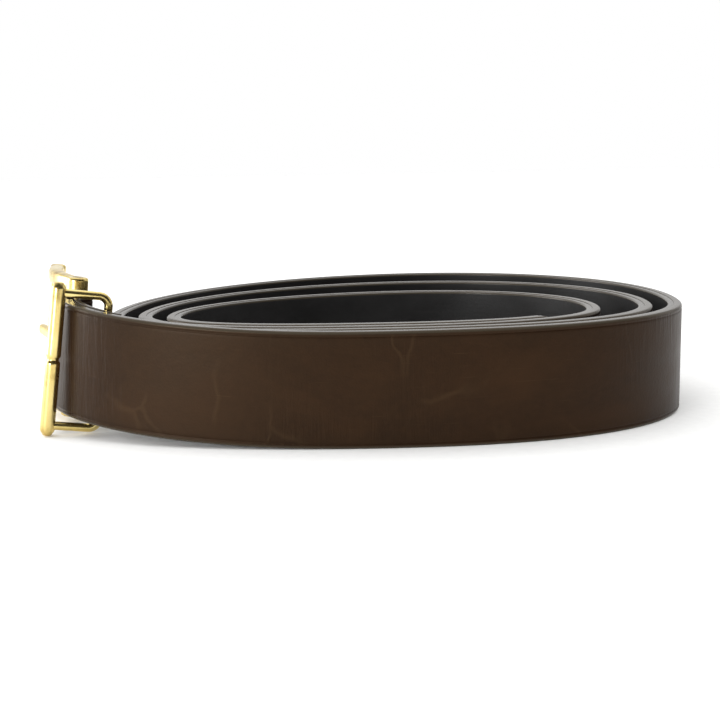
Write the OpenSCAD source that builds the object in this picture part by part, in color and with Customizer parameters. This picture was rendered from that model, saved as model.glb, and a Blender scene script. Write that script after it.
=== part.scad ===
// Dress belt: a bonded two-ply leather strap standing on its edge in a loose coil,
// with a brass buckle and a metal keeper at its outer end.
// Millimetres. +Z up, +Y away from the open front of the coil, +X to the right.
// The origin is on the table under the middle of the belt's bounding box.

/* [Strap] */
// Width of the strap
strap_w = 30; // [24:1:38]
// Thickness of the outer grain leather
face_t = 2.4; // [1.8:0.1:2.6]
// Thickness of the lining leather
lining_t = 1.7; // [1.2:0.1:1.8]
// How much narrower the lining is than the strap
lining_inset = 0.5; // [0.2:0.1:1]
// Length of the pointed tip
tip_len = 14; // [8:1:20]
// Diameter of the holes for the prong
hole_d = 4; // [3.6:0.1:4.4]
// Distance between two holes
hole_gap = 25; // [20:1:28]
// Number of holes
hole_count = 5; // [3:2:7]
// Distance from the tip to the first hole
first_hole = 80; // [60:5:100]

/* [Coil] */
// Distance between strands where they lie together at the front
front_pitch = 4.4; // [4.4:0.05:4.5]
// Furthest reach to the right of the first turn
right_reach = 88.5; // [84:0.5:92]
// Loss of reach to the right at the second turn
right_step = 6; // [5:0.5:8]
// How much faster each further turn draws in on the right
right_growth = 3.1; // [2:0.1:3.4]
// Furthest reach to the left of the first full turn
left_reach = 71; // [69:0.5:72]
// Loss of reach to the left at each turn
left_step = 9; // [8:0.5:10]
// Depth of the first turn, front to back
coil_depth = 135.5; // [130:0.5:140]
// Loss of depth at each turn
depth_step = 27; // [25:0.5:28]
// Distance behind the front where the first turn is widest
wide_at = 54; // [50:1:58]
// How much nearer the front each further turn is widest
wide_step = 6; // [5:0.5:6]
// Sideways slant of the oval, as a slope
slant = 0.1; // [0.05:0.01:0.12]
// Squareness of the oval's front half (2 is an ellipse)
front_square = 2.4; // [2.2:0.05:2.5]
// Where the tip lies, in turns from the middle of the front
tip_turn = 3.225; // [3.15:0.005:3.23]

/* [Buckle end] */
// Reach to the left of the strap's buckle end
heel_reach = 85.5; // [85:0.5:87]
// Distance of the buckle end behind the front of the coil
heel_back = 37; // [36:0.5:39]
// How far the buckle holds the strap's end off the table
heel_lift = 6.3; // [6.1:0.1:6.6]
// Lean of the strap's end, top towards the coil
heel_lean = 6; // [4:0.5:7]
// Length of strap turned back round the heel bar
fold_len = 34; // [30:1:38]
// Length of the prong slot on each side of the fold
slot_len = 8.5; // [8:0.5:9]
// Height of the prong slot
slot_w = 5.6; // [5.4:0.1:6]

/* [Buckle] */
// Outer height of the buckle frame
frame_h = 39.5; // [39:0.5:42]
// Distance from the heel bar to the frame's front bar
frame_len = 29; // [27:1:34]
// Thickness of the frame's rails
rail_t = 4.2; // [4:0.1:4.6]
// How far the rails bow outward
rail_bow = 2.6; // [1:0.1:3]
// Diameter of the frame's front bar
front_bar_d = 4.6; // [4.2:0.1:5]
// Diameter of the heel bar
heel_bar_d = 4; // [3.6:0.1:4]
// Swing of the frame outward from the strap's line
frame_swing = 24; // [10:1:26]
// Height of the prong's shank
prong_w = 4; // [3.4:0.1:4.2]
// Thickness of the prong's shank
prong_t = 2.4; // [2:0.1:2.6]

/* [Keeper] */
// Height of the keeper's bar
keeper_h = 41.5; // [40:0.5:41.5]
// Diameter of the keeper's bar
keeper_bar_d = 3.9; // [3.6:0.1:4.2]
// Diameter of the keeper's wire
keeper_wire_d = 2.3; // [2:0.1:2.4]
// Distance from the bar's axis to the wire's far leg
keeper_depth = 13.2; // [13:0.1:13.6]
// Distance between the wire's two arms, axis to axis
keeper_span = 36; // [35.8:0.1:36.2]
// Distance of the keeper behind the front of the coil
keeper_back = 19; // [18.5:0.1:19.5]
// Reach to the left of the keeper's bar at mid height
keeper_reach = 84.6; // [84.2:0.1:84.8]
// Lean of the keeper, top towards the coil
keeper_lean = 8; // [5:0.5:9]
// Turn of the keeper, its wire side away from the front
keeper_turn = 14; // [12:1:18]

/* [Hidden] */
$fn = 48;

leather = [0.21, 0.15, 0.1];
black_leather = [0.07, 0.065, 0.065];
brass = [0.82, 0.68, 0.36];

strap_t = face_t + lining_t;
coil_shift = [4.66, -67.755];     // puts the origin under the middle of the box
coil_mid = 5.5;                  // middle of the oval at its widest, before the slant
first_turn = -0.25;              // the heel, a quarter turn before the front
step = 1 / 64;                   // part of a turn between two rings of the sweep

// ---- the coil's centre line, k in turns, 0 at the middle of the front ----

function smooth(u) = let (v = min(1, max(0, u))) v * v * (3 - 2 * v);
function power(v, p) = sign(v) * pow(abs(v), p);

// The last strand, past 2.75 turns, lies along the inside of the one before it.
function reach_right(k) =
    k > 2.75 ? reach_right(k - 1) - 2 * front_pitch
             : right_reach - right_step * (k - 0.25) - right_growth * pow(k - 0.25, 2);
function reach_left(k) = left_reach - left_step * (k - 0.75);
function front_y(k) = front_pitch * k;
function back_y(k) = coil_depth - depth_step * (k - 0.5);
function widest_y(k) = wide_at - wide_step * k;

// The oval: its front half is a superellipse, its back half an ellipse.
function oval(k) =
    let (a = 360 * (k - 0.25), c = cos(a), s = sin(a), p = 2 / front_square,
         cc = s < 0 ? power(c, p) : c,
         ss = s < 0 ? power(s, p) : s,
         y = s < 0 ? widest_y(k) + (widest_y(k) - front_y(k)) * ss
                   : widest_y(k) + (back_y(k) - widest_y(k)) * ss,
         half = c > 0 ? reach_right(k) - coil_mid : reach_left(k) + coil_mid)
    [coil_mid + slant * (y - 50) + half * cc, y];

// The buckle end leaves the front in a quarter superellipse that ends heading straight back.
front_x = coil_mid - slant * 50;
heel_square = 2.3;
function buckle_end(k) =
    let (a = 360 * (k - 0.25), p = 2 / heel_square)
    [front_x + (front_x + heel_reach) * power(cos(a), p), heel_back * (1 + power(sin(a), p))];

function centre(k) = (k < 0 ? buckle_end(k) : oval(k)) + coil_shift;
function along(k) = let (d = centre(k + 0.002) - centre(k - 0.002)) d / norm(d);
function outward(k) = let (d = along(k)) [d.y, -d.x];
function lift(k) = heel_lift * smooth(k / first_turn);
function lean(k) = heel_lean * smooth(k / first_turn);

// A point of the strap: o outward from its middle ply line, z up from its lower edge.
function place(p, n, k, o, z) =
    let (a = lean(k), h = z - strap_w / 2)
    [p.x + n.x * (o * cos(a) - h * sin(a)),
     p.y + n.y * (o * cos(a) - h * sin(a)),
     lift(k) + strap_w / 2 + h * cos(a) + o * sin(a)];
function on_strap(k, o, z) = place(centre(k), outward(k), k, o, z);

// ---- sweeping a ply: every ring is [outer low, inner low, inner high, outer high] ----

module ribbon(rings) {
    last = len(rings) - 1;
    points = [for (r = rings) for (p = r) p];
    sides = [for (i = [0:last - 1]) for (j = [0:3])
        let (a = 4 * i + j, b = 4 * i + (j + 1) % 4) each [[a, b, b + 4], [a, b + 4, a + 4]]];
    polyhedron(points, concat(sides, [[3, 2, 1], [3, 1, 0]],
        [[4 * last, 4 * last + 1, 4 * last + 2], [4 * last, 4 * last + 2, 4 * last + 3]]),
        convexity = 12);
}

function ring(k, o1, o2, z1, z2) =
    [on_strap(k, o1, z1), on_strap(k, o2, z1), on_strap(k, o2, z2), on_strap(k, o1, z2)];

// Where a length measured from the tip or from the heel falls, in turns.
function turn_from_tip(d) = walk(tip_turn, -1, d);
function turn_from_heel(d) = walk(first_turn, 1, d);
function walk(k, way, d) =
    let (next = k + way * 0.004, hop = norm(centre(next) - centre(k)))
    hop >= d ? k + way * 0.004 * d / hop : walk(next, way, d - hop);

tip_start = turn_from_tip(tip_len);
// Half height of the strap at a place in its pointed tip, as an arch.
function tip_half(k) =
    let (u = max(0, (k - tip_start) / (tip_turn - tip_start)))
    (strap_w / 2 - 3) * pow(1 - pow(u, 2.4), 0.5) + 3 * (1 - u) + 0.4;

function ply(o1, o2, inset, first) =
    [for (i = [first:floor((tip_start - first_turn) / step - 0.3)])
         ring(first_turn + i * step, o1, o2, inset, strap_w - inset),
     for (i = [0:8]) let (k = tip_start + (tip_turn - tip_start) * sin(i * 11.25),
                          h = min(strap_w / 2, tip_half(k)) - inset)
         ring(k, o1, o2, strap_w / 2 - h, strap_w / 2 + h)];

// ---- the fold round the heel bar ----

face_mid = strap_t / 2 - face_t / 2;           // ply line of the grain leather
wrap_r = heel_bar_d / 2 + 0.15 + face_t / 2;   // its radius round the heel bar
bar_off = face_mid - wrap_r;                   // heel bar, inward of the strap's middle
flap_t = 1.6;                                  // the turned-back end is pared thinner
flap_gap = 0.25;                               // glue line between the flap and the lining
flap_close = 8;                                // where the flap meets the lining
flap_skive = 9;                                // length of its feathered end
flap_off = -strap_t / 2 - flap_gap - flap_t / 2;

heel_p = centre(first_turn);
heel_z = lift(first_turn) + strap_w / 2;

// One ring of the wrap at an angle round the bar, 0 on the outer side and 180 on the inner.
function wrap_ring(a) =
    let (r1 = wrap_r + face_t / 2, r2 = wrap_r - face_t / 2,
         p1 = [r1 * cos(a), r1 * sin(a)], p2 = [r2 * cos(a), r2 * sin(a)])
    [wrap_point(p1, 0), wrap_point(p2, 0), wrap_point(p2, strap_w), wrap_point(p1, strap_w)];
function wrap_point(q, z) =
    place([heel_p.x, heel_p.y + q.y], [-1, 0], first_turn, bar_off + q.x, z);

// The turned-back end leaves the bar, closes on the lining and is skived at its end.
function flap_ring(d) =
    let (u = smooth(d / flap_close),
         t = (face_t + (flap_t - face_t) * u) * (1 - 0.55 * smooth((d - fold_len) / flap_skive + 1)),
         middle = (bar_off - wrap_r) * (1 - u) + flap_off * u,
         outer = d > flap_close ? -strap_t / 2 - flap_gap : middle + t / 2)
    ring(turn_from_heel(max(d, 0.01)), outer - t, outer, 0, strap_w);

module strap_face_blank() {
    flap = [for (i = [12:-1:1]) flap_ring(fold_len * i / 12)];
    wrap = [for (a = [180:-15:0]) wrap_ring(a)];
    ribbon(concat(flap, wrap, ply(strap_t / 2, strap_t / 2 - face_t, 0, 1)));
}

module prong_holes(from, to) {
    for (i = [0:hole_count - 1]) {
        k = turn_from_tip(first_hole + hole_gap * i);
        p = on_strap(k, 0, strap_w / 2);
        n = outward(k);
        translate(p)
            rotate([0, 90, atan2(n.y, n.x)])
                translate([0, 0, from])
                    cylinder(d = hole_d, h = to - from);
    }
}

module at_heel() {
    translate([heel_p.x - bar_off, heel_p.y, heel_z])
        rotate([0, heel_lean, 0])
            children();
}

// ---- the pieces ----

module strap_face() {
    color(leather)
        difference() {
            strap_face_blank();
            prong_holes(-strap_t, strap_t);
            at_heel()
                translate([-12, -slot_len, -slot_w / 2])
                    cube([24, slot_len + 12, slot_w]);
        }
}

// The lining starts at the sweep's first ring past the bend of the flap.
lining_first = ceil((turn_from_heel(flap_close) - first_turn) / step);
module strap_lining() {
    color(black_leather)
        difference() {
            ribbon(ply(strap_t / 2 - face_t, -strap_t / 2, lining_inset, lining_first));
            prong_holes(-strap_t, strap_t);
        }
}

// One row of hand stitching holds the fold shut between the heel bar and the keeper.
// Every stitch shows as a short thread on the outer face and another on the flap.
stitch_d = 0.9;
stitch_len = 3;
stitch_pitch = 4.2;
stitch_count = 6;
stitch_turn = turn_from_heel(10.6);
stitch_faces = [strap_t / 2, flap_off - flap_t / 2];
module fold_stitching() {
    n = outward(stitch_turn);
    color(black_leather)
        for (o = stitch_faces)
            for (i = [0:stitch_count - 1]) {
                z = strap_w / 2 + (i - (stitch_count - 1) / 2) * stitch_pitch;
                translate(on_strap(stitch_turn, o, z))
                    rotate([0, 0, atan2(n.y, n.x)])
                        rotate([0, -lean(stitch_turn), 0])
                            cylinder(d = stitch_d, h = stitch_len, center = true);
            }
}

// The frame's side profile: rails bowed outward between the heel and the front bar.
module rail(z) {
    bow_r = (pow(frame_len / 2, 2) + pow(rail_bow, 2)) / (2 * rail_bow);
    half = asin(frame_len / 2 / bow_r);
    translate([bow_r - rail_bow, frame_len / 2, z])
        rotate([0, 0, 180 - half])
            rotate_extrude(angle = 2 * half, $fn = 180)
                translate([bow_r, 0])
                    square([rail_t, rail_t], center = true);
}

boss_d = 6;
module buckle_frame() {
    rail_z = frame_h / 2 - rail_t / 2;
    color(brass)
        at_heel()
            rotate([0, 0, frame_swing])
                difference() {
                    union() {
                        rail(rail_z);
                        rail(-rail_z);
                        for (s = [-1, 1])
                            translate([0, 0, s * rail_z])
                                cylinder(d = boss_d, h = rail_t, center = true);
                        translate([0, frame_len, 0])
                            cylinder(d = front_bar_d, h = frame_h, center = true);
                    }
                    cylinder(d = heel_bar_d, h = frame_h + 2, center = true);
                    translate([0, frame_len, 0])
                        rotate_extrude()
                            translate([front_bar_d / 2 + 0.2, 0])
                                circle(d = 1.4, $fn = 24);
                }
}

module heel_bar() {
    color(brass)
        at_heel()
            rotate([0, 0, frame_swing])
                cylinder(d = heel_bar_d, h = frame_h, center = true);
}

// The prong: an eye on the heel bar, and a shank that lies on the front bar's notch.
eye_play = 0.08;
eye_wall = 1.5;
module prong() {
    eye_r = heel_bar_d / 2 + eye_play + eye_wall;
    seat = front_bar_d / 2 + prong_t / 2 + 0.15;
    tilt = atan2(seat - 1.2, frame_len);
    color(brass)
        at_heel()
            rotate([0, 0, frame_swing])
                difference() {
                    union() {
                        cylinder(r = eye_r, h = prong_w, center = true);
                        translate([-1.2, 0, 0])
                            rotate([0, 0, tilt])
                                translate([-prong_t / 2, 1, -prong_w / 2])
                                    cube([prong_t, frame_len + 1.6, prong_w]);
                    }
                    cylinder(r = heel_bar_d / 2 + eye_play, h = prong_w + 2, center = true);
                }
}

module at_keeper() {
    translate([-keeper_reach + coil_shift.x, keeper_back + coil_shift.y, keeper_h / 2 + 0.15])
        rotate([0, keeper_lean, keeper_turn])
            children();
}

// The keeper's bar: round, with sloped ends and a turned groove at mid height.
module keeper_bar() {
    r = keeper_bar_d / 2;
    h = keeper_h / 2;
    color(brass)
        at_keeper()
            difference() {
                rotate_extrude()
                    polygon([[0, -h], [r * 0.55, -h], [r, -h + r * 0.7], [r, -0.8], [r * 0.76, -0.25],
                             [r * 0.76, 0.25], [r, 0.8], [r, h - r * 0.7], [r * 0.55, h], [0, h]]);
                for (s = [-1, 1])
                    translate([0, 0, s * keeper_span / 2])
                        rotate([0, 90, 0])
                            cylinder(d = keeper_wire_d, h = 10);
            }
}

// The keeper's wire: two arms and a far leg joined by quarter bends, set into the bar.
module keeper_wire() {
    r = keeper_wire_d / 2;
    bend = 2.6;
    s = keeper_span / 2;
    color(brass)
        at_keeper() {
            for (m = [0, 1])
                mirror([0, 0, m]) {
                    translate([0, 0, s])
                        rotate([0, 90, 0])
                            cylinder(r = r, h = keeper_depth - bend);
                    translate([keeper_depth - bend, 0, s - bend])
                        rotate([90, 0, 0])
                            rotate_extrude(angle = 90)
                                translate([bend, 0])
                                    circle(r = r, $fn = 32);
                }
            translate([keeper_depth, 0, 0])
                cylinder(r = r, h = 2 * (s - bend), center = true);
        }
}

strap_face();
strap_lining();
fold_stitching();
buckle_frame();
heel_bar();
prong();
keeper_bar();
keeper_wire();
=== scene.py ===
# Leather dress belt standing on its edge in a loose coil, with a brass buckle and a wire keeper.
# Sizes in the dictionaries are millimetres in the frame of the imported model; meshes are stored in metres.
import math

import bpy
import numpy as np
from mathutils import Matrix, Vector


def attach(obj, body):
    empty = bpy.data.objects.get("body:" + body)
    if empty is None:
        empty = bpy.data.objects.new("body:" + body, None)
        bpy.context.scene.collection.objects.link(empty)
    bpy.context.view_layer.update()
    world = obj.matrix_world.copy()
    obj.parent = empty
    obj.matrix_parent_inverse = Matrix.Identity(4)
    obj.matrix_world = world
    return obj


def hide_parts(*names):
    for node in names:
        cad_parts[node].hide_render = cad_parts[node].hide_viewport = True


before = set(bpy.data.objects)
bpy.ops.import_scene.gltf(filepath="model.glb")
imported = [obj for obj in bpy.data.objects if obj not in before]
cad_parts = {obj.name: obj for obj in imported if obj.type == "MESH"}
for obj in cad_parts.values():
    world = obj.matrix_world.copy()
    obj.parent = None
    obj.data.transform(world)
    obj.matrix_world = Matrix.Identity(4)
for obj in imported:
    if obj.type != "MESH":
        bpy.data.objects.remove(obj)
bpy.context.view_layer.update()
mm = 0.001
creaseAngle = math.radians(38)                            # two faces that meet sharper than this show an edge
mapStep = 0.3                                             # map spacing, mm, of a piece with no map of its own
rimMap = 15.0                                             # a map value across the strap that is past its rim
print("frame loaded:", sorted(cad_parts))


# ---- small helpers: colours, nodes, meshes ----

def linearColour(hexCode):
    # sRGB hex to linear red, green, blue, 1
    parts = [int(hexCode[i:i + 2], 16) / 255 for i in (1, 3, 5)]
    return [p / 12.92 if p <= 0.04045 else ((p + 0.055) / 1.055) ** 2.4 for p in parts] + [1.0]


def addNode(tree, kind, settings=None, links=None):
    # one shader node: settings fill properties (text in lower case) or sockets, links feed sockets
    node = tree.nodes.new("ShaderNode" + kind)
    for key, value in (settings or {}).items():
        if isinstance(key, str) and hasattr(node, key):
            setattr(node, key, value)
        else:
            node.inputs[key].default_value = value
    for key, source in (links or {}).items():
        tree.links.new(source, node.inputs[key])
    return node


def newMaterial(name, settings):
    # a Principled material whose constant finish values sit on the shader's own sockets
    material = bpy.data.materials.new(name)
    material.use_nodes = True
    tree = material.node_tree
    tree.nodes.clear()
    shader = addNode(tree, "BsdfPrincipled", settings)
    addNode(tree, "OutputMaterial", links={"Surface": shader.outputs[0]})
    return material, tree, shader


def colourRamp(tree, source, stops):
    # stops are (position, hex colour) pairs
    ramp = addNode(tree, "ValToRGB", links={0: source})
    while len(ramp.color_ramp.elements) < len(stops):
        ramp.color_ramp.elements.new(0.5)
    for element, (place, hexCode) in zip(ramp.color_ramp.elements, stops):
        element.position = place
        element.color = linearColour(hexCode)
    return ramp.outputs[0]


def fade(tree, source, low, high, outLow=0.0, outHigh=1.0):
    # smooth step of a value from low..high to outLow..outHigh
    settings = {"interpolation_type": "SMOOTHSTEP", 1: low, 2: high, 3: outLow, 4: outHigh}
    return addNode(tree, "MapRange", settings, {0: source}).outputs[0]


def arithmetic(tree, operation, a, b):
    # a is a socket, b a socket or a number
    node = addNode(tree, "Math", {"operation": operation}, {0: a})
    if isinstance(b, (int, float)):
        node.inputs[1].default_value = b
    else:
        tree.links.new(b, node.inputs[1])
    return node.outputs[0]


def mixColour(tree, share, a, b):
    # a and b mixed, share of b; each is a socket or a hex colour
    node = addNode(tree, "MixRGB", links={0: share})
    for slot, value in ((1, a), (2, b)):
        if isinstance(value, str):
            node.inputs[slot].default_value = linearColour(value)
        else:
            tree.links.new(value, node.inputs[slot])
    return node.outputs[0]


def patternSpace(tree, kind, sizes, turn=(0, 0, 0)):
    # coordinates for a pattern that repeats every sizes mm, in the strap's own map or in the object's space
    if kind == "strap":
        source = addNode(tree, "UVMap", {"uv_map": "strapMap"}).outputs[0]
    else:
        source = addNode(tree, "TexCoord").outputs["Object"]
    factor = [1 / (size * mm) for size in sizes]
    return addNode(tree, "Mapping", {"Scale": factor, "Rotation": turn}, {0: source}).outputs[0]


def noise(tree, space, detail=3.0, roughness=0.5, distortion=0.0):
    # cloudy noise from 0 to 1 with one feature for each unit of space
    return addNode(tree, "TexNoise", {"Scale": 1.0, "Detail": detail, "Roughness": roughness,
                                      "Distortion": distortion}, {"Vector": space}).outputs[0]


def bump(tree, height, strength, distanceMm, normal=None):
    # relief distanceMm deep for a height of 1, laid over an earlier relief if there is one
    node = addNode(tree, "Bump", {"Strength": strength, "Distance": distanceMm * mm}, {"Height": height})
    if normal is not None:
        tree.links.new(normal, node.inputs["Normal"])
    return node.outputs[0]


class Shell:
    # gathers swept surfaces into one mesh with the strap's map
    def __init__(self):
        self.points, self.faces, self.maps, self.count = [], [], [], 0

    def add(self, grid, across=None, along=None, closedLong=False):
        # grid is rings x points x 3, every ring closed; ends are closed unless the rings close on themselves
        rings, size = grid.shape[:2]
        i = np.arange(rings if closedLong else rings - 1)[:, None]
        j = np.arange(size)[None, :]
        nextRing = (i + 1) % rings
        quads = np.stack([i * size + j, i * size + (j + 1) % size,
                          nextRing * size + (j + 1) % size, nextRing * size + j], -1).reshape(-1, 4)
        flat = grid.reshape(-1, 3)
        a, b, c, d = (flat[quads[:, n]] for n in range(4))
        volume = np.einsum("ij,ij->", a, np.cross(b, c)) + np.einsum("ij,ij->", a, np.cross(c, d))
        if across is None:
            across = (np.arange(size) * mapStep, np.arange(1, size + 1) * mapStep)
        if along is None:
            along = np.arange(rings) * mapStep
        low, high = across
        maps = np.stack([
            np.stack([along[i] + 0 * j, low[None, :] + 0 * i], -1),
            np.stack([along[i] + 0 * j, high[None, :] + 0 * i], -1),
            np.stack([along[nextRing] + 0 * j, high[None, :] + 0 * i], -1),
            np.stack([along[nextRing] + 0 * j, low[None, :] + 0 * i], -1)], 2).reshape(-1, 4, 2)
        caps = []
        if not closedLong:
            caps = [np.arange(size)[::-1], (rings - 1) * size + np.arange(size)]
        if volume < 0:                                    # the rings run the other way: turn every face over
            quads, maps, caps = quads[:, ::-1], maps[:, ::-1], [cap[::-1] for cap in caps]
        self.points.append(flat)
        self.faces += (quads + self.count).tolist() + [(cap + self.count).tolist() for cap in caps]
        self.maps.append(maps.reshape(-1, 2))
        for cap in caps:
            self.maps.append(np.zeros((size, 2)) + [0.0, rimMap])
        self.count += len(flat)
        return self

    def build(self, name, material):
        # one smooth-shaded piece with a single material
        mesh = bpy.data.meshes.new(name)
        mesh.from_pydata((np.concatenate(self.points) * mm).tolist(), [], self.faces)
        layer = mesh.uv_layers.new(name="strapMap")
        layer.data.foreach_set("uv", (np.concatenate(self.maps) * mm).astype(np.float32).ravel())
        mesh.polygons.foreach_set("use_smooth", np.ones(len(mesh.polygons), bool))
        mesh.set_sharp_from_angle(angle=creaseAngle)
        mesh.materials.append(material)
        piece = bpy.data.objects.new(name, mesh)
        bpy.context.scene.collection.objects.link(piece)
        return piece


def seat(piece, body, slot, *nodes):
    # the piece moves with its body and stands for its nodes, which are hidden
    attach(piece, body)
    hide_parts(*nodes)


# ---- the coil's centre line, k in turns, 0 at the middle of the front ----

coil = dict(frontPitch=4.4,                               # between two strands at the front
            rightReach=88.5, rightStep=6, rightGrowth=3.1,    # to the right, less by turns and turns squared
            leftReach=71, leftStep=9,                     # to the left and its loss in each turn
            depth=135.5, depthStep=27,                    # front to back and its loss in each turn
            wideAt=54, wideStep=6,                        # widest place behind the front, less each turn
            slant=0.1, slantAt=50,                        # sideways lean with depth, none at slantAt
            frontSquare=2.4, middle=5.5, shift=(4.66, -67.755),
            firstTurn=-0.25, tipTurn=3.225, lastFrom=2.75)    # turns at the heel, the tip and the last strand
heel = dict(reach=85.5, back=37, lift=6.3, lean=math.radians(6), square=2.3, barD=4, barPlay=0.15)
strap = dict(width=30, faceT=2.4, faceCorner=0.7, faceInner=0.1, creaseDeep=0.13,
             liningT=1.7, liningInset=0.12, liningCorner=0.5, liningInner=0.08, liningGap=1.0,
             tipLen=14, tipRound=3, tipCurve=2.4, tipBlunt=0.4, tipMargin=0.6, tipRings=26,
             holeD=4, holeGap=25, holeCount=5, holeSides=40, firstHole=80,
             foldLen=34, flapT=1.6, flapGap=0.25, flapClose=8, flapSkive=9, skiveLoss=0.55, flapRings=60,
             wrapRings=31, slotLen=8.5, slotW=5.6,
             slotReach=12,                                # the slot cutter's size past the heel bar
             ringGap=1.15,                                # between two rings of the sweep
             ease=0.12)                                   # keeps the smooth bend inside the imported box
strapT = strap["faceT"] + strap["liningT"]


def power(v, p):
    # the size of v to the power p, with v's sign
    return np.sign(v) * np.abs(v) ** p


def smooth(u):
    # 3 v squared less 2 v cubed, for u held between 0 and 1
    v = np.clip(u, 0, 1)
    return v * v * (3 - 2 * v)


def rightReach(k):
    # reach falls with the turns and their square; the last strand lies along the inside of the one before it
    def drawn(q):
        # the reach drawn by the formula, q in turns; t counts them from the first right-hand end
        t = q - 0.25
        return coil["rightReach"] - coil["rightStep"] * t - coil["rightGrowth"] * t ** 2
    return np.where(k > coil["lastFrom"], drawn(k - 1) - 2 * coil["frontPitch"], drawn(k))


def centre(k):
    # an oval that shrinks turn by turn: front half a superellipse, back half an ellipse;
    # before turn 0 a quarter superellipse that ends heading straight back at the buckle
    k = np.asarray(k, float)
    a = 2 * math.pi * (k - 0.25)
    c, s = np.cos(a), np.sin(a)
    widest = coil["wideAt"] - coil["wideStep"] * k
    p = 2 / coil["frontSquare"]
    cc, ss = np.where(s < 0, power(c, p), c), np.where(s < 0, power(s, p), s)
    backDepth = coil["depth"] - coil["depthStep"] * (k - 0.5) - widest
    depth = np.where(s < 0, widest - coil["frontPitch"] * k, backDepth)
    y = widest + depth * ss
    half = np.where(c > 0, rightReach(k) - coil["middle"],
                    coil["leftReach"] - coil["leftStep"] * (k - 0.75) + coil["middle"])
    x = coil["middle"] + coil["slant"] * (y - coil["slantAt"]) + half * cc
    frontX = coil["middle"] - coil["slant"] * coil["slantAt"]
    q = 2 / heel["square"]
    x = np.where(k < 0, frontX + (frontX + heel["reach"]) * power(c, q), x)
    y = np.where(k < 0, heel["back"] * (1 + power(s, q)), y)
    return np.stack([x + coil["shift"][0], y + coil["shift"][1]], -1)


def outward(k):
    # unit normal: the direction between two near points of the centre line, turned a quarter turn outward
    near = 0.002
    d = centre(k + near) - centre(k - near)
    d = d / np.linalg.norm(d, axis=-1, keepdims=True)
    return np.stack([d[..., 1], -d[..., 0]], -1)


def place(p, n, k, o, z):
    # a point of the strap: o outward from the middle ply line, z up from the lower edge, leaning at the heel
    t = smooth(np.asarray(k) / coil["firstTurn"])
    lean, h = heel["lean"] * t, z - strap["width"] / 2
    out = o * np.cos(lean) - h * np.sin(lean)
    return np.stack([p[..., 0] + n[..., 0] * out, p[..., 1] + n[..., 1] * out,
                     heel["lift"] * t + strap["width"] / 2 + h * np.cos(lean) + o * np.sin(lean)], -1)


fineTurns = np.linspace(coil["firstTurn"], coil["tipTurn"], 40001)
hops = np.linalg.norm(np.diff(centre(fineTurns), axis=0), axis=1)
runs = np.concatenate([[0], np.cumsum(hops)])              # length of strap from the heel
strapLength = runs[-1]
print("strap length, mm:", round(strapLength))


def turnFromHeel(d):
    # the turn that lies d mm of strap from the heel bar
    return np.interp(d, runs, fineTurns)


def turnFromTip(d):
    # the turn that lies d mm of strap from the tip
    return np.interp(strapLength - d, runs, fineTurns)


# ---- materials ----

# Full-grain calf, vegetable tanned and waxed: brown with soft mottling, pale growth veins, fine pores,
# a low satin gloss; its rims carry grey-brown edge paint.
leatherLook = dict(dark="#1a0e07", mid="#211309", light="#2b1a0d", vein="#54422c", paint="#3a342b",
                   shade="#1e140d", roughFace=0.4, roughPaint=0.22, rimAt=(14.15, 14.7), shadeAt=(9.0, 14.6),
                   fineShare=0.3, veinShare=0.12, rubShare=0.16, shadeShare=0.35)


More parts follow.
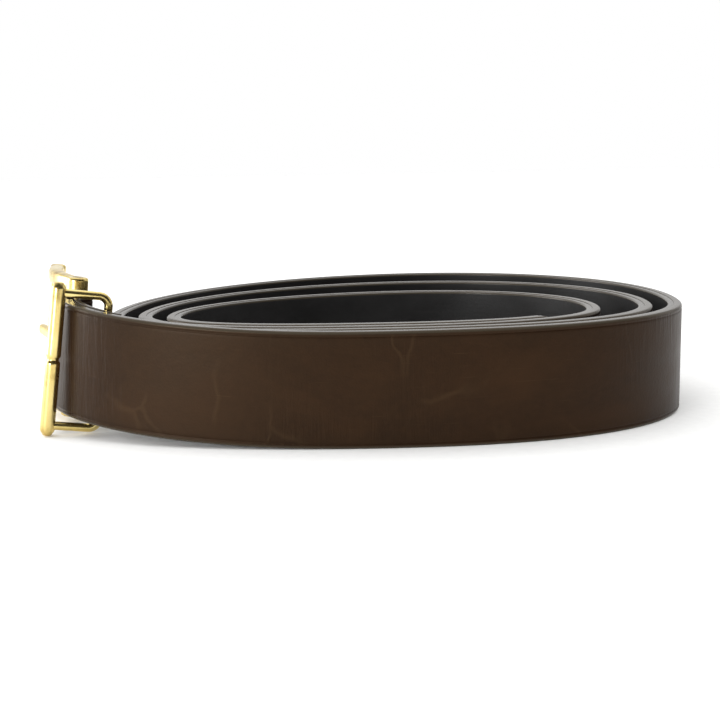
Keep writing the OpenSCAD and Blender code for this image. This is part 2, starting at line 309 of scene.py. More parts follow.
def makeGrainLeather():
    # colour and gloss follow mottling, pores, veins, rubs and the rim's paint; relief adds wrinkles
    material, tree, shader = newMaterial("waxed_calf_leather", {
        "IOR": 1.45, "Specular IOR Level": 0.2, "Specular Tint": linearColour("#ffd9b0"),
        "Coat Weight": 0.06, "Coat Roughness": 0.28, "Coat IOR": 1.4})
    across = addNode(tree, "SeparateXYZ", links={0: patternSpace(tree, "strap", (1, 1, 1))}).outputs[1]
    fromMiddle = arithmetic(tree, "ABSOLUTE", across, 0.0)
    rim = fade(tree, fromMiddle, *leatherLook["rimAt"])   # edge paint past the bevel
    shade = fade(tree, fromMiddle, *leatherLook["shadeAt"], 0.0, leatherLook["shadeShare"])
    mottle = noise(tree, patternSpace(tree, "strap", (34, 20, 1)), detail=5.0, roughness=0.6, distortion=0.6)
    base = colourRamp(tree, mottle, [(0.28, leatherLook["dark"]), (0.52, leatherLook["mid"]),
                                     (0.76, leatherLook["light"])])
    fine = noise(tree, patternSpace(tree, "strap", (2.4, 2.4, 1)), detail=4.0, roughness=0.62)
    fineShare = fade(tree, fine, 0.35, 0.72, 0.0, leatherLook["fineShare"])
    base = mixColour(tree, fineShare, base, leatherLook["light"])
    # growth veins: thin lighter lines at the borders of cells some 27 by 62 mm, bent by noise, in places only
    bend = addNode(tree, "TexNoise", {"Scale": 1.0, "Detail": 2.0},
                   {"Vector": patternSpace(tree, "strap", (13, 13, 1))}).outputs[1]
    veinSpace = addNode(tree, "VectorMath", {"operation": "MULTIPLY_ADD", 1: (0.3, 0.3, 0.0)},
                        {0: bend, 2: patternSpace(tree, "strap", (27, 62, 1), (0, 0, 0.55))}).outputs[0]
    cells = addNode(tree, "TexVoronoi", {"feature": "DISTANCE_TO_EDGE", "Scale": 1.0},
                    {"Vector": veinSpace}).outputs[0]
    veinLine = fade(tree, cells, 0.0, 0.022, 1.0, 0.0)
    veinPlace = fade(tree, noise(tree, patternSpace(tree, "strap", (30, 22, 1)), detail=2.0), 0.47, 0.66)
    vein = arithmetic(tree, "MULTIPLY", veinLine, veinPlace)
    veinShare = arithmetic(tree, "MULTIPLY", vein, leatherLook["veinShare"])
    base = mixColour(tree, veinShare, base, leatherLook["vein"])
    # dry wrinkles across the strap, about 1.6 mm apart and 15 mm long
    wrinkleSpace = patternSpace(tree, "strap", (1.6, 15, 1))
    wrinkle = noise(tree, wrinkleSpace, detail=3.0, roughness=0.6, distortion=0.4)
    wrinklePlace = fade(tree, noise(tree, patternSpace(tree, "strap", (45, 40, 1)), detail=1.0), 0.42, 0.66)
    # faint rubs and scratches along the strap
    rubs = noise(tree, patternSpace(tree, "strap", (22, 0.5, 1), (0, 0, 0.12)), detail=2.0, roughness=0.7)
    rub = fade(tree, rubs, 0.66, 0.76)
    rubShare = arithmetic(tree, "MULTIPLY", rub, leatherLook["rubShare"])
    base = mixColour(tree, rubShare, base, leatherLook["vein"])
    base = mixColour(tree, shade, base, leatherLook["shade"])
    tree.links.new(mixColour(tree, rim, base, leatherLook["paint"]), shader.inputs["Base Color"])
    gloss = fade(tree, mottle, 0.25, 0.8, leatherLook["roughFace"] - 0.05, leatherLook["roughFace"] + 0.06)
    gloss = arithmetic(tree, "ADD", gloss, arithmetic(tree, "MULTIPLY", fine, 0.06))
    mixRough = addNode(tree, "Mix", {"data_type": "FLOAT"}, {0: rim, 2: gloss})
    mixRough.inputs[3].default_value = leatherLook["roughPaint"]
    tree.links.new(mixRough.outputs[0], shader.inputs["Roughness"])
    # pores and pebble of the grain, 0.6 mm across: coarser than calf's own 0.3 mm so that it still shows
    pebble = addNode(tree, "TexVoronoi", {"feature": "SMOOTH_F1", "Scale": 1.0, "Smoothness": 0.6},
                     {"Vector": patternSpace(tree, "strap", (0.6, 0.6, 1))}).outputs[0]
    onFace = fade(tree, rim, 0.0, 1.0, 1.0, 0.0)
    normal = bump(tree, arithmetic(tree, "MULTIPLY", pebble, onFace), 0.35, 0.06)
    wrinkled = arithmetic(tree, "MULTIPLY", arithmetic(tree, "MULTIPLY", wrinkle, wrinklePlace), onFace)
    normal = bump(tree, wrinkled, 0.9, 0.22, normal)
    normal = bump(tree, arithmetic(tree, "MULTIPLY", vein, onFace), 0.5, 0.1, normal)
    normal = bump(tree, mottle, 0.4, 0.35, normal)
    tree.links.new(normal, shader.inputs["Normal"])
    return material


# Lining leather, drum dyed and pigmented black: near black with a fine even grain and a dull satin gloss.
liningLook = dict(dark="#121111", light="#1e1d1d", streak="#242120", rim="#3a342b", rough=0.46, roughRim=0.22,
                  rimAt=(14.1, 14.5))


def makeLiningLeather():
    # near black, a little lighter in clouds and along faint streaks, with a fine pebbled relief
    material, tree, shader = newMaterial("pigmented_black_lining_leather", {
        "IOR": 1.45, "Specular IOR Level": 0.3, "Coat Weight": 0.05, "Coat Roughness": 0.35})
    cloud = noise(tree, patternSpace(tree, "strap", (25, 14, 1)), detail=4.0, roughness=0.6)
    grain = addNode(tree, "TexVoronoi", {"feature": "SMOOTH_F1", "Scale": 1.0, "Smoothness": 0.5},
                    {"Vector": patternSpace(tree, "strap", (0.8, 0.8, 1))}).outputs[0]
    streak = noise(tree, patternSpace(tree, "strap", (18, 0.9, 1)), detail=3.0, roughness=0.65)
    base = colourRamp(tree, cloud, [(0.3, liningLook["dark"]), (0.75, liningLook["light"])])
    base = mixColour(tree, fade(tree, streak, 0.55, 0.8, 0.0, 0.4), base, liningLook["streak"])
    across = addNode(tree, "SeparateXYZ", links={0: patternSpace(tree, "strap", (1, 1, 1))}).outputs[1]
    fromMiddle = arithmetic(tree, "ABSOLUTE", across, 0.0)
    rim = fade(tree, fromMiddle, *liningLook["rimAt"])    # the same edge paint
    tree.links.new(mixColour(tree, rim, base, liningLook["rim"]), shader.inputs["Base Color"])
    rough = fade(tree, cloud, 0.2, 0.8, liningLook["rough"] - 0.06, liningLook["rough"] + 0.06)
    mixRough = addNode(tree, "Mix", {"data_type": "FLOAT", 3: liningLook["roughRim"]}, {0: rim, 2: rough})
    tree.links.new(mixRough.outputs[0], shader.inputs["Roughness"])
    normal = bump(tree, grain, 0.4, 0.06)
    tree.links.new(bump(tree, streak, 0.3, 0.08, normal), shader.inputs["Normal"])
    return material


# Solid brass, machined and polished: warm yellow metal with a sharp gloss, faint polishing lines,
# a little dulling by handling and darker tarnish in patches.
brassLook = dict(bright="#ecd996", worn="#dcc47c", tarnish="#b2975a", rough=0.17)


def makeBrass():
    # brightness and gloss follow clouds of tarnish and fine polishing lines
    material, tree, shader = newMaterial("polished_brass", {"Metallic": 1.0})
    cloud = noise(tree, patternSpace(tree, "object", (7, 7, 9)), detail=4.0, roughness=0.6)
    lines = noise(tree, patternSpace(tree, "object", (0.25, 0.25, 6)), detail=2.0, roughness=0.7)
    base = colourRamp(tree, cloud, [(0.3, brassLook["tarnish"]), (0.46, brassLook["worn"]),
                                    (0.7, brassLook["bright"])])
    base = mixColour(tree, fade(tree, lines, 0.6, 0.8, 0.0, 0.25), base, brassLook["tarnish"])
    tree.links.new(base, shader.inputs["Base Color"])
    rough = fade(tree, cloud, 0.3, 0.75, brassLook["rough"] + 0.1, brassLook["rough"] - 0.03)
    rough = arithmetic(tree, "ADD", rough, fade(tree, lines, 0.5, 0.8, 0.0, 0.06))
    tree.links.new(rough, shader.inputs["Roughness"])
    normal = bump(tree, lines, 0.12, 0.02)
    tree.links.new(bump(tree, cloud, 0.1, 0.05, normal), shader.inputs["Normal"])
    return material


# Linen thread, three strands twisted and waxed: dark brown, dull, with slanting ridges.
threadLook = dict(dark="#1c140f", light="#3b2b1f")


def makeThread():
    # dark and light bands for the twist, fine noise for the fibres
    material, tree, shader = newMaterial("waxed_linen_thread", {"IOR": 1.5, "Specular IOR Level": 0.3})
    twist = addNode(tree, "TexWave", {"wave_type": "BANDS", "bands_direction": "DIAGONAL", "Scale": 0.45,
                                      "Distortion": 0.6, "Detail": 1.0},
                    {"Vector": patternSpace(tree, "object", (1, 1, 1))}).outputs[1]
    fibre = noise(tree, patternSpace(tree, "object", (0.15, 0.15, 0.15)), detail=2.0)
    base = colourRamp(tree, twist, [(0.2, threadLook["dark"]), (0.8, threadLook["light"])])
    tree.links.new(base, shader.inputs["Base Color"])
    tree.links.new(fade(tree, fibre, 0.3, 0.7, 0.55, 0.75), shader.inputs["Roughness"])
    normal = bump(tree, twist, 0.6, 0.12)
    tree.links.new(bump(tree, fibre, 0.3, 0.03, normal), shader.inputs["Normal"])
    return material


grainLeather, liningLeather = makeGrainLeather(), makeLiningLeather()
brass, thread = makeBrass(), makeThread()
print("materials made")


# ---- the strap's two plies ----

section = dict(faceSteps=(0, 4, 8, 11, 12.7, 13.25, 13.45, 13.6, 13.75, 13.9, 14.05),    # heights on the face
               creaseAt=(13.4, 13.6, 13.75, 14.0),        # where the creased line starts, is deepest and ends
               backSteps=(13.2, 11, 8, 4, 0), cornerSteps=6)


def plyProfile(thick, half, round1, round2, crease):
    # half of a ply's section, from the middle of its shown face up over the edge to the middle of its back:
    # two rounded corners of radius round1 and round2, and a creased line crease deep beside the edge
    corner = np.radians(np.linspace(0, 90, section["cornerSteps"]))
    t = thick / 2
    face = np.array([*section["faceSteps"], half - round1 - 0.05])
    dip = np.interp(face, section["creaseAt"], [0, 1, 1, 0]) * crease
    a = np.concatenate([t - dip, t - round1 + round1 * np.cos(corner), -t + round2 - round2 * np.sin(corner)])
    z = np.concatenate([face, half - round1 + round1 * np.sin(corner),
                        half - round2 + round2 * np.cos(corner)])
    back = np.array(section["backSteps"]) * half / (strap["width"] / 2)
    a, z = np.append(a, np.full(len(back), -t)), np.append(z, back)
    v = np.concatenate([[0], np.cumsum(np.hypot(np.diff(a), np.diff(z)))])
    across = (np.concatenate([v[:-1], -v[:0:-1]]), np.concatenate([v[1:], -v[-2::-1]]))
    return np.concatenate([a, a[-2:0:-1]]), np.concatenate([z, -z[-2:0:-1]]), across


def tipHalf(k):
    # half height near the tip: an arch of power tipCurve and a straight taper, blunt at the end
    tipStart = turnFromTip(strap["tipLen"])
    u = np.clip((k - tipStart) / (coil["tipTurn"] - tipStart), 0, 1)
    arch = (strap["width"] / 2 - strap["tipRound"]) * np.sqrt(1 - u ** strap["tipCurve"]) \
        + strap["tipRound"] * (1 - u) + strap["tipBlunt"]
    return np.minimum(strap["width"] / 2, arch)


def plyTurns(fromRun):
    # rings one ringGap apart up to the tip, then closer and closer to the tip's end
    tipStart = turnFromTip(strap["tipLen"])
    bodyEnd = strapLength - strap["tipLen"] - strap["tipMargin"]
    body = turnFromHeel(np.arange(fromRun, bodyEnd, strap["ringGap"]))
    tip = tipStart + (coil["tipTurn"] - tipStart) * np.sin(np.linspace(0, math.pi / 2, strap["tipRings"]))
    return np.concatenate([body, tip])


def cutPiece(piece, cutters):
    # takes the cutters out of the piece and keeps the result as its mesh
    for cutter in cutters:
        cut = piece.modifiers.new("cut", "BOOLEAN")
        cut.object, cut.operation, cut.solver = cutter, "DIFFERENCE", "EXACT"
    view = bpy.context.evaluated_depsgraph_get()
    done = bpy.data.meshes.new_from_object(piece.evaluated_get(view))
    piece.modifiers.clear()
    old, piece.data = piece.data, done
    bpy.data.meshes.remove(old)
    piece.data.name = piece.name
    piece.data.set_sharp_from_angle(angle=creaseAngle)


def holeCutter(name, point, normal, radius, reach):
    # a round punch along the strap's outward normal
    a = np.linspace(0, 2 * math.pi, strap["holeSides"], endpoint=False)
    side = np.array([-normal[1], normal[0]])
    ring = np.stack([side[0] * np.cos(a) * radius, side[1] * np.cos(a) * radius, np.sin(a) * radius], -1)
    shift = np.array([normal[0], normal[1], 0]) * reach
    grid = np.stack([ring + point - shift, ring + point + shift])
    return Shell().add(grid).build(name, grainLeather)


def punches():
    # one punch for each prong hole, holeGap apart from firstHole behind the tip
    made = []
    for i in range(strap["holeCount"]):
        k = turnFromTip(strap["firstHole"] + strap["holeGap"] * i)
        p, n = centre(k), outward(k)
        made.append(holeCutter("punch" + str(i), np.array([p[0], p[1], strap["width"] / 2]), n,
                               strap["holeD"] / 2, strapT))
    return made


faceMid = strapT / 2 - strap["faceT"] / 2
wrapR = heel["barD"] / 2 + heel["barPlay"] + strap["faceT"] / 2    # ply line round the heel bar
barOff = faceMid - wrapR
heelPoint, heelZ = centre(coil["firstTurn"]), heel["lift"] + strap["width"] / 2


def heelFrame(swing=0.0):
    # origin and axes of the heel bar: leaning about Y, then swung about its own axis
    lean = heel["lean"]
    rotY = np.array([[math.cos(lean), 0, math.sin(lean)], [0, 1, 0], [-math.sin(lean), 0, math.cos(lean)]])
    s, c = math.sin(swing), math.cos(swing)
    rotZ = np.array([[c, -s, 0], [s, c, 0], [0, 0, 1]])
    return np.array([heelPoint[0] - barOff, heelPoint[1], heelZ]), rotY @ rotZ


def makeStrapFace():
    # grain leather: the skived end turned back inside, a half circle round the heel bar, then the whole coil
    a, z, across = plyProfile(strap["faceT"], strap["width"] / 2, strap["faceCorner"], strap["faceInner"],
                              strap["creaseDeep"])
    a = np.where(a > 0, a * (1 - 2 * strap["ease"] / strap["faceT"]), a)
    w = strap["width"] / 2
    d = np.linspace(strap["foldLen"], 0.02, strap["flapRings"])[:, None]
    u = smooth(d / strap["flapClose"])
    t = (strap["faceT"] + (strap["flapT"] - strap["faceT"]) * u) * \
        (1 - strap["skiveLoss"] * smooth((d - strap["foldLen"]) / strap["flapSkive"] + 1))
    flapOff = -strapT / 2 - strap["flapGap"] - strap["flapT"] / 2
    middle = (barOff - wrapR) * (1 - u) + flapOff * u
    outer = np.where(d > strap["flapClose"], -strapT / 2 - strap["flapGap"], middle + t / 2)
    k = turnFromHeel(d[:, 0])
    flap = place(centre(k)[:, None], outward(k)[:, None], k[:, None],
                 outer - t / 2 - a * t / strap["faceT"], w + z)
    turn = np.radians(np.linspace(180, 0, strap["wrapRings"]))[1:-1, None]
    r = wrapR + a
    spot = np.stack([heelPoint[0] + 0 * r * turn, heelPoint[1] + r * np.sin(turn)], -1)
    wrap = place(spot, np.array([-1.0, 0.0]), coil["firstTurn"], barOff + r * np.cos(turn), w + z + 0 * turn)
    k = plyTurns(0.0)
    body = place(centre(k)[:, None], outward(k)[:, None], k[:, None], faceMid + a + 0 * k[:, None],
                 w + z * (tipHalf(k) / w)[:, None])
    grid = np.concatenate([flap, wrap, body])
    along = np.concatenate([[0], np.cumsum(np.linalg.norm(np.diff(grid[:, 0], axis=0), axis=1))])
    piece = Shell().add(grid, across, along).build("strapFace", grainLeather)
    origin, axes = heelFrame()
    far, near = strap["slotReach"], -strap["slotLen"]
    corners = ((near, -1), (far, -1), (far, 1), (near, 1))
    box = np.array([[x, y, h] for x in (-far, far) for y, h in corners], float)
    box[:, 2] *= strap["slotW"] / 2
    slotBox = Shell().add((box @ axes.T + origin).reshape(2, 4, 3)).build("slotCutter", grainLeather)
    return piece, slotBox


def makeStrapLining():
    # lining leather: the same sweep, a little narrower, its shown face to the inside of the coil
    half = strap["width"] / 2 - strap["liningInset"]
    a, z, across = plyProfile(strap["liningT"], half, strap["liningCorner"], strap["liningInner"], 0.0)
    w = strap["width"] / 2
    k = plyTurns(strap["flapClose"] + strap["liningGap"])
    mid = -strapT / 2 + strap["liningT"] / 2
    tall = np.minimum(half, tipHalf(k) - strap["liningInset"] * np.clip(tipHalf(k) / w, 0, 1))
    grid = place(centre(k)[:, None], outward(k)[:, None], k[:, None], mid - a + 0 * k[:, None],
                 w + z * (tall / half)[:, None])
    along = np.concatenate([[0], np.cumsum(np.linalg.norm(np.diff(grid[:, 0], axis=0), axis=1))])
    return Shell().add(grid, across, along).build("strapLining", liningLeather)


holeTools = punches()
strapFace, slotBox = makeStrapFace()
strapLining = makeStrapLining()
cutPiece(strapFace, holeTools + [slotBox])
cutPiece(strapLining, holeTools)
for tool in holeTools + [slotBox]:
    bpy.data.objects.remove(tool)
seat(strapFace, "root", "grain_leather", "strap_face")
seat(strapLining, "root", "lining_leather", "strap_lining")
print("strap made:", len(strapFace.data.polygons), "and", len(strapLining.data.polygons), "faces")


# ---- stitching ----

stitch = dict(run=10.6, count=6, pitch=4.2, length=3.0, thick=0.44, rise=0.1, dive=2.2, flat=0.62,
              endPower=6, sides=12, rings=21)


def makeStitches():
    # short threads that rise from one needle hole and dive into the next, on both faces of the fold
    k = turnFromHeel(stitch["run"])
    p, n = centre(k), outward(k)
    lean = heel["lean"] * smooth(k / coil["firstTurn"])
    up = np.array([-n[0] * math.sin(lean), -n[1] * math.sin(lean), math.cos(lean)])
    out = np.array([n[0] * math.cos(lean), n[1] * math.cos(lean), math.sin(lean)])
    side = np.cross(up, out)
    shell = Shell()
    a = np.linspace(0, 2 * math.pi, stitch["sides"], endpoint=False)
    u = np.linspace(-1, 1, stitch["rings"])
    radius = stitch["thick"] * np.sqrt(np.clip(1 - np.abs(u) ** stitch["endPower"], 0.04, 1))
    for face, way in ((strapT / 2, 1), (-strapT / 2 - strap["flapGap"] - strap["flapT"], -1)):
        for i in range(stitch["count"]):
            z = strap["width"] / 2 + (i - (stitch["count"] - 1) / 2) * stitch["pitch"]
            middle = place(p, n, k, face, z)
            line = middle + np.outer(u * stitch["length"] / 2, up) + \
                np.outer(way * stitch["rise"] * (1 - stitch["dive"] * u ** 4), out)
            grid = line[:, None] + radius[:, None, None] * (np.cos(a)[None, :, None] * side +
                                                            np.sin(a)[None, :, None] * out * stitch["flat"])
            shell.add(grid)
    return shell.build("foldStitches", thread)


seat(makeStitches(), "root", "thread", "fold_stitching")


# ---- brass work ----

latheSides = 48                                           # faces round a turned piece
axisGap = 0.02                                            # radius, mm, at which a turned piece's ends close


def lathe(profile, axes, origin):
    # a profile of radius and height carried round the local Z axis
    a = np.linspace(0, 2 * math.pi, latheSides, endpoint=False)
    r, h = np.array(profile, float).T
    grid = np.stack([r[:, None] * np.cos(a), r[:, None] * np.sin(a), h[:, None] + 0 * a], -1)
    return grid @ axes.T + origin


def roundedRod(radius, half, edge):
    # profile of a rod from -half to half, its two ends rounded over by a quarter circle of radius edge
    corner = np.radians(np.linspace(0, 90, 7))
    end = np.stack([radius - edge + edge * np.sin(corner), -half + edge - edge * np.cos(corner)], -1)
    h = np.linspace(-half + edge, half - edge, 9)[1:-1]
    shaft = np.stack([np.full(len(h), radius), h], -1)
    axisPoint = np.array([[axisGap, -half]])
    top = end[::-1] * [1, -1]
    return np.concatenate([axisPoint, end, shaft, top, axisPoint * [1, -1]])


buckle = dict(height=39.5, length=29, rail=4.2, bow=2.6, frontD=4.6, frontEdge=1.0, heelEdge=0.5,
              bossD=6, bossEdge=0.8, railSquare=3.2, swing=math.radians(24),
              grooveR=0.7, grooveHalf=1.2, grooveDeep=0.5, grooveClear=1.5)    # groove: worn by the prong


def makeBuckleFrame():
    # two rails: a rounded square section along a shallow arc, a round boss at each heel end,
    # and a round front bar with a worn groove where the prong rests
    origin, axes = heelFrame(buckle["swing"])
    shell = Shell()
    railZ = buckle["height"] / 2 - buckle["rail"] / 2
    bowR = ((buckle["length"] / 2) ** 2 + buckle["bow"] ** 2) / (2 * buckle["bow"])
    half = math.asin(buckle["length"] / 2 / bowR)
    a = np.linspace(0, 2 * math.pi, 40, endpoint=False)
    p = 2 / buckle["railSquare"]
    across, tall = power(np.cos(a), p) * buckle["rail"] / 2, power(np.sin(a), p) * buckle["rail"] / 2
    b = np.linspace(-half, half, 49)
    for side in (-1, 1):
        r = bowR + across[None, :] + 0 * b[:, None]
        rail = np.stack([bowR - buckle["bow"] - r * np.cos(b)[:, None],
                         buckle["length"] / 2 + r * np.sin(b)[:, None],
                         side * railZ + tall[None, :] + 0 * b[:, None]], -1)
        shell.add(rail @ axes.T + origin)
        boss = roundedRod(buckle["bossD"] / 2, buckle["rail"] / 2, buckle["bossEdge"])
        shell.add(lathe(boss + [0, side * railZ], axes, origin))
    h = np.linspace(-1, 1, 61) * buckle["grooveHalf"]
    arc = np.sqrt(np.clip(buckle["grooveR"] ** 2 - h ** 2, 0, None))
    depth = arc - (buckle["grooveR"] - buckle["grooveDeep"])
    bar = roundedRod(buckle["frontD"] / 2, buckle["height"] / 2, buckle["frontEdge"])
    middle = np.stack([buckle["frontD"] / 2 - np.maximum(depth, 0), h], -1)
    lower, upper = bar[bar[:, 1] < -buckle["grooveClear"]], bar[bar[:, 1] > buckle["grooveClear"]]
    frontPlace = origin + axes @ np.array([0, buckle["length"], 0])
    shell.add(lathe(np.concatenate([lower, middle, upper]), axes, frontPlace))
    return shell.build("buckleFrame", brass)


def makeHeelBar():
    # a plain rod along the fold's axis, as long as the frame is tall
    origin, axes = heelFrame(buckle["swing"])
    rod = roundedRod(heel["barD"] / 2, buckle["height"] / 2, buckle["heelEdge"])
    return Shell().add(lathe(rod, axes, origin)).build("heelBar", brass)


prongSizes = dict(width=4, thick=2.4, eyePlay=0.08, eyeWall=1.5, eyeEdge=0.45, back=1.2, rest=0.15,
                  shankFrom=2.4, pointFrom=-4, pointTo=2.6)    # the point, from and to, against the front bar


def makeProng():
    # a rolled eye round the heel bar and a shank of rounded section that tapers to a blunt point
    origin, axes = heelFrame(buckle["swing"])
    inner = heel["barD"] / 2 + prongSizes["eyePlay"]
    outer = inner + prongSizes["eyeWall"]
    w, e = prongSizes["width"] / 2, prongSizes["eyeEdge"]
    corner = np.radians(np.linspace(0, 90, 5))
    topOut = np.stack([outer - e + e * np.cos(corner), w - e + e * np.sin(corner)], -1)
    topIn = np.stack([inner + e - e * np.sin(corner), w - e + e * np.cos(corner)], -1)
    section = np.concatenate([topOut, topIn, topIn[::-1] * [1, -1], topOut[::-1] * [1, -1]])
    a = np.linspace(0, 2 * math.pi, 56, endpoint=False)
    r, h = section.T
    eye = np.stack([np.cos(a)[:, None] * r, np.sin(a)[:, None] * r, h + 0 * a[:, None]], -1)
    shell = Shell().add(eye @ axes.T + origin, closedLong=True)
    seatOff = buckle["frontD"] / 2 + prongSizes["thick"] / 2 + prongSizes["rest"]
    tilt = math.atan2(seatOff - prongSizes["back"], buckle["length"])
    turn = np.array([[math.cos(tilt), -math.sin(tilt), 0], [math.sin(tilt), math.cos(tilt), 0], [0, 0, 1]])
    pointFrom = buckle["length"] + prongSizes["pointFrom"]
    pointLen = prongSizes["pointTo"] - prongSizes["pointFrom"]
    y = np.concatenate([np.linspace(prongSizes["shankFrom"], pointFrom, 16),
                        pointFrom + pointLen * np.sin(np.linspace(0, math.pi / 2, 17))[1:]])
    end = np.sqrt(np.clip(1 - np.clip((y - buckle["length"] + 0.2) / 2.4, 0, 1) ** 2, 0.003, 1))
    taper = np.interp(y, [2, 8, buckle["length"] + 2], [1.0, 0.92, 0.74])
    c = np.linspace(0, 2 * math.pi, 28, endpoint=False)
    tall, deep = power(np.sin(c), 0.7) * w, power(np.cos(c), 0.7) * prongSizes["thick"] / 2
    shank = np.stack([deep[None, :] * end[:, None], y[:, None] + 0 * deep,
                      tall[None, :] * (end * taper)[:, None]], -1)
    shank = shank @ turn.T + [-prongSizes["back"], 0, 0]
    return shell.add(shank @ axes.T + origin).build("prongPin", brass)


keeper = dict(height=41.5, barD=3.9, wireD=2.3, depth=13.2, span=36, back=19, reach=84.6, bend=2.6,
              lean=math.radians(8), turn=math.radians(14), floorGap=0.15)


def keeperFrame():
    # origin and axes of the keeper: turned about Z, then leaning about Y
    s, c = math.sin(keeper["turn"]), math.cos(keeper["turn"])
    rotZ = np.array([[c, -s, 0], [s, c, 0], [0, 0, 1]])
    s, c = math.sin(keeper["lean"]), math.cos(keeper["lean"])
    rotY = np.array([[c, 0, s], [0, 1, 0], [-s, 0, c]])
    return np.array([-keeper["reach"] + coil["shift"][0], keeper["back"] + coil["shift"][1],
                     keeper["height"] / 2 + keeper["floorGap"]]), rotZ @ rotY


def makeKeeperBar():
    # a turned bar: coned ends, eased shoulders and a V groove at mid height
    origin, axes = keeperFrame()
    r, h = keeper["barD"] / 2, keeper["height"] / 2
    half = [(axisGap, h), (r * 0.5, h), (r * 0.56, h - 0.05), (r * 0.62, h - 0.16), (r * 0.94, h - r * 0.6),
            (r * 0.985, h - r * 0.7), (r, h - r * 0.82), (r, h - 4), (r, h * 0.6), (r, h * 0.3), (r, 1.4),
            (r, 0.95), (r * 0.97, 0.76), (r * 0.79, 0.33), (r * 0.76, 0.18)]
    profile = np.array([(x, -y) for x, y in half] + [(x, y) for x, y in reversed(half)])
    return Shell().add(lathe(profile, axes, origin)).build("keeperBar", brass)


def makeKeeperWire():
    # round wire carried from the bar along an arm, round a quarter bend, down the far leg and back
    origin, axes = keeperFrame()
    s, d, b, r = keeper["span"] / 2, keeper["depth"], keeper["bend"], keeper["wireD"] / 2
    q = np.radians(np.linspace(90, 0, 13))
    x = np.concatenate([np.linspace(0.3, d - b, 8)[:-1], d - b + b * np.cos(q)])
    z = np.concatenate([np.full(7, s), s - b + b * np.sin(q)])
    leg = np.linspace(s - b, b - s, 7)[1:-1]
    x, z = np.concatenate([x, np.full(len(leg), d), x[::-1]]), np.concatenate([z, leg, -z[::-1]])
    line = np.stack([x, 0 * x, z], -1)
    forward = np.gradient(line, axis=0)
    forward /= np.linalg.norm(forward, axis=1, keepdims=True)
    side = np.array([0.0, 1.0, 0.0])
    other = np.cross(forward, side)
    a = np.linspace(0, 2 * math.pi, 28, endpoint=False)
    grid = line[:, None] + r * (np.cos(a)[None, :, None] * side + np.sin(a)[None, :, None] * other[:, None])
    return Shell().add(grid @ axes.T + origin).build("keeperWire", brass)


for make, body, node in ((makeBuckleFrame, "buckle", "buckle_frame"), (makeHeelBar, "buckle", "heel_bar"),
                         (makeProng, "prong", "prong"), (makeKeeperBar, "keeper", "keeper_bar"),
                         (makeKeeperWire, "keeper", "keeper_wire")):
    seat(make(), body, "brass", node)
print("brass work made")


# ---- studio: floor, lights and camera ----

studio = dict(floorSize=6000, floorLight="#fbfbfa", floorDark="#f7f7f6", cameraPlace=(1.9, -366.09, 75.35),
              lens=60.36, tilt=79.97, roll=-0.018)


def makeFloor():
    # a wide sheet of matt white paper at height 0
    half = studio["floorSize"] / 2
    mesh = bpy.data.meshes.new("studioFloor")
    mesh.from_pydata([(x * half * mm, y * half * mm, 0) for x, y in ((-1, -1), (1, -1), (1, 1), (-1, 1))],
                     [], [(0, 1, 2, 3)])
    material, tree, shader = newMaterial("matt_white_paper", {"IOR": 1.45, "Specular IOR Level": 0.1})
    tooth = noise(tree, patternSpace(tree, "object", (3, 3, 3)), detail=3.0)
    tree.links.new(colourRamp(tree, tooth, [(0.3, studio["floorDark"]), (0.7, studio["floorLight"])]),
                   shader.inputs["Base Color"])
    shader.inputs["Roughness"].default_value = 0.9
    mesh.materials.append(material)
    floor = bpy.data.objects.new("studioFloor", mesh)
    bpy.context.scene.collection.objects.link(floor)


def softLight(name, place, target, size, watts):
    # a white panel at place that faces target; place, target and size are in millimetres
    data = bpy.data.lights.new(name, "AREA")
    data.shape, data.size, data.size_y, data.energy = "RECTANGLE", size[0] * mm, size[1] * mm, watts
    light = bpy.data.objects.new(name, data)
    light.location = [p * mm for p in place]
    away = light.location - Vector([t * mm for t in target])
    light.rotation_euler = away.to_track_quat("Z", "Y").to_euler()
    bpy.context.scene.collection.objects.link(light)


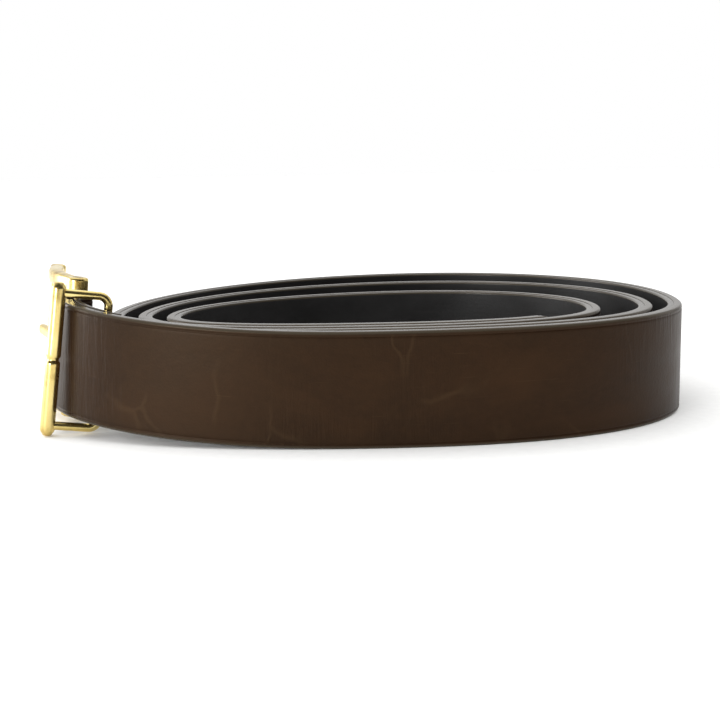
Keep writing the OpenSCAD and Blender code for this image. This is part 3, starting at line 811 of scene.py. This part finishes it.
def makeStudio():
    # floor, four soft lights and an even white world
    makeFloor()
    softLight("topSoftbox", (0, 250, 900), (0, 0, 0), (1400, 1100), 3)
    softLight("sheenCard", (-420, -620, 130), (-60, -60, 20), (260, 240), 2.4)
    softLight("leftSoftbox", (-700, 130, 170), (-80, -30, 20), (480, 420), 3.6)
    softLight("rightSoftbox", (750, 260, 300), (80, -10, 10), (400, 500), 0.4)
    world = bpy.data.worlds.new("studioAir")
    bpy.context.scene.world = world
    world.use_nodes = True
    tree = world.node_tree
    tree.nodes.clear()
    # white paper all round, except that gloss meets the darker room on the camera's side
    ray = addNode(tree, "LightPath").outputs
    way = addNode(tree, "SeparateXYZ", links={0: addNode(tree, "TexCoord").outputs["Generated"]}).outputs
    back = fade(tree, way[0], 0.1, 0.9, 1.0, 0.4)
    room = arithmetic(tree, "MULTIPLY", fade(tree, way[1], -0.3, 0.45, 0.06, 1.0), back)
    side = fade(tree, way[0], -1.0, -0.55, 1.6, 0.0)
    gloss = arithmetic(tree, "MAXIMUM", room, side)
    even = fade(tree, way[0], -1.0, 1.0, 1.32, 0.88)       # more light from the left
    strength = addNode(tree, "Mix", {"data_type": "FLOAT"},
                       {0: ray["Is Glossy Ray"], 2: even, 3: gloss}).outputs[0]
    strength = addNode(tree, "Mix", {"data_type": "FLOAT", 3: 1.0},
                       {0: ray["Is Camera Ray"], 2: strength}).outputs[0]
    paper = addNode(tree, "Background", {"Color": linearColour("#ffffff")}, {"Strength": strength})
    addNode(tree, "OutputWorld", links={0: paper.outputs[0]})


def makeCamera():
    # looks straight down, then is tilted up by tilt degrees, and rolled by roll radians about its own view
    data = bpy.data.cameras.new("studioCamera")
    data.lens, data.sensor_width, data.clip_start, data.clip_end = studio["lens"], 36, 0.01, 20
    camera = bpy.data.objects.new("studioCamera", data)
    camera.location = [p * mm for p in studio["cameraPlace"]]
    tilt, roll = math.radians(studio["tilt"]), studio["roll"]
    rotX = np.array([[1, 0, 0], [0, math.cos(tilt), -math.sin(tilt)], [0, math.sin(tilt), math.cos(tilt)]])
    rotZ = np.array([[math.cos(roll), -math.sin(roll), 0], [math.sin(roll), math.cos(roll), 0], [0, 0, 1]])
    camera.rotation_euler = Matrix((rotX @ rotZ).tolist()).to_euler()
    bpy.context.scene.collection.objects.link(camera)
    bpy.context.scene.camera = camera


makeStudio()
makeCamera()
bpy.context.scene.view_settings.view_transform = "Standard"
